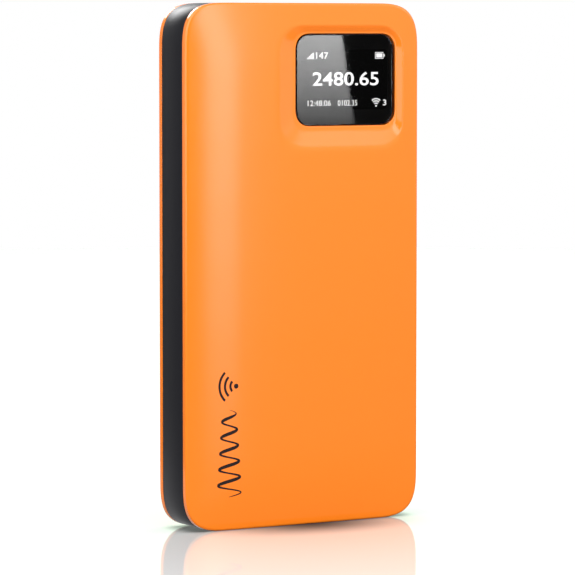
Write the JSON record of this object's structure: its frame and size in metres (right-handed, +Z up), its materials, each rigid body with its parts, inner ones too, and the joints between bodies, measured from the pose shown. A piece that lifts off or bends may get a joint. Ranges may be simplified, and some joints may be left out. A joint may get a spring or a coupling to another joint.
{
  "type": "mobile hotspot",
  "caption": "Upright pocket hotspot with crowned orange shells, a black middle band, a small recessed display, a power button, a SIM tray and a USB-C port.",
  "frame": {"origin": "centre of the lower edge that the device stands on", "axes": "+X to the right of the display, -Y out of the display face, +Z up to the top edge"},
  "size_m": [0.066, 0.0144, 0.128],
  "materials": {
    "black_plastic": "black moulded plastic",
    "white_plastic": "white moulded plastic",
    "tape": "pale adhesive tape",
    "battery_wrap": "printed battery pouch wrap",
    "black_wire": "black wire insulation",
    "red_wire": "red wire insulation",
    "white_wire": "white wire insulation",
    "solder_mask": "green solder mask",
    "steel": "plated pressed steel",
    "glass": "glossy black display window",
    "gold": "gold-plated spring metal",
    "orange_shell": "satin orange moulded plastic",
    "flex": "amber polyimide flex",
    "foam": "closed-cell foam and tape",
    "lcd_glass": "dark display glass",
    "copper": "etched copper antenna",
    "black_band": "satin black moulded plastic",
    "thermal": "soft grey-blue thermal pad"
  },
  "bodies": {
    "housing": {"antenna_carrier": "black_plastic", "backlight_unit": "white_plastic", "battery_adhesive_left": "tape", "battery_adhesive_right": "tape", "battery_cell": "battery_wrap", "battery_header": "white_plastic", "battery_lead_black": "black_wire", "battery_lead_red": "red_wire", "battery_lead_sense": "white_wire", "battery_plug": "white_plastic", "battery_protection_board": "solder_mask", "board_screw_1": "steel", "board_screw_2": "steel", "board_screw_3": "steel", "board_screw_4": "steel", "display_window": "glass", "diversity_antenna_clip": "gold", "front_shell": "orange_shell", "front_shell_screw_1": "steel", "front_shell_screw_2": "steel", "front_shell_screw_3": "steel", "front_shell_screw_4": "steel", "front_shell_screw_5": "steel", "front_shell_screw_6": "steel", "lcd_bracket": "steel", "lcd_connector": "black_plastic", "lcd_flex": "flex", "lcd_foam_gasket": "foam", "lcd_panel": "lcd_glass", "lte_diversity_antenna": "copper", "lte_main_antenna": "copper", "main_antenna_coax": "black_wire", "main_board": "solder_mask", "main_flex_socket": "black_plastic", "main_rf_plug": "gold", "mid_frame": "black_band", "modem_shield": "steel", "power_switch_body": "black_plastic", "rear_shell": "orange_shell", "reset_switch_body": "black_plastic", "sim_socket": "steel", "sub_board": "solder_mask", "sub_board_flex": "flex", "sub_board_screw_1": "steel", "sub_board_screw_2": "steel", "sub_flex_socket": "black_plastic", "sub_rf_plug": "gold", "thermal_pad": "thermal", "usb_shell": "steel", "usb_tongue": "black_plastic", "wifi_antenna": "copper", "wifi_antenna_clip": "gold", "wifi_shield": "steel", "window_adhesive": "foam"},
    "power_button": {"power_button": "black_band", "power_switch_plunger": "white_plastic"},
    "reset_plunger": {"reset_switch_plunger": "white_plastic"},
    "sim_tray": {"sim_tray": "black_band"}
  },
  "joints": [
    {"name": "power_button_press", "type": "slide", "parent": "housing", "child": "power_button", "axis": [-1, 0, 0], "range_m": [0, 0.00035], "stiffness_N_per_m": 3000, "springref_m": -0.0002},
    {"name": "reset_press", "type": "slide", "parent": "housing", "child": "reset_plunger", "axis": [0, 0, -1], "range_m": [0, 0.00025], "stiffness_N_per_m": 3000, "springref_m": -0.0002},
    {"name": "sim_tray_slide", "type": "slide", "parent": "housing", "child": "sim_tray", "axis": [0, 0, 1], "range_m": [0, 0.021]}
  ]
}
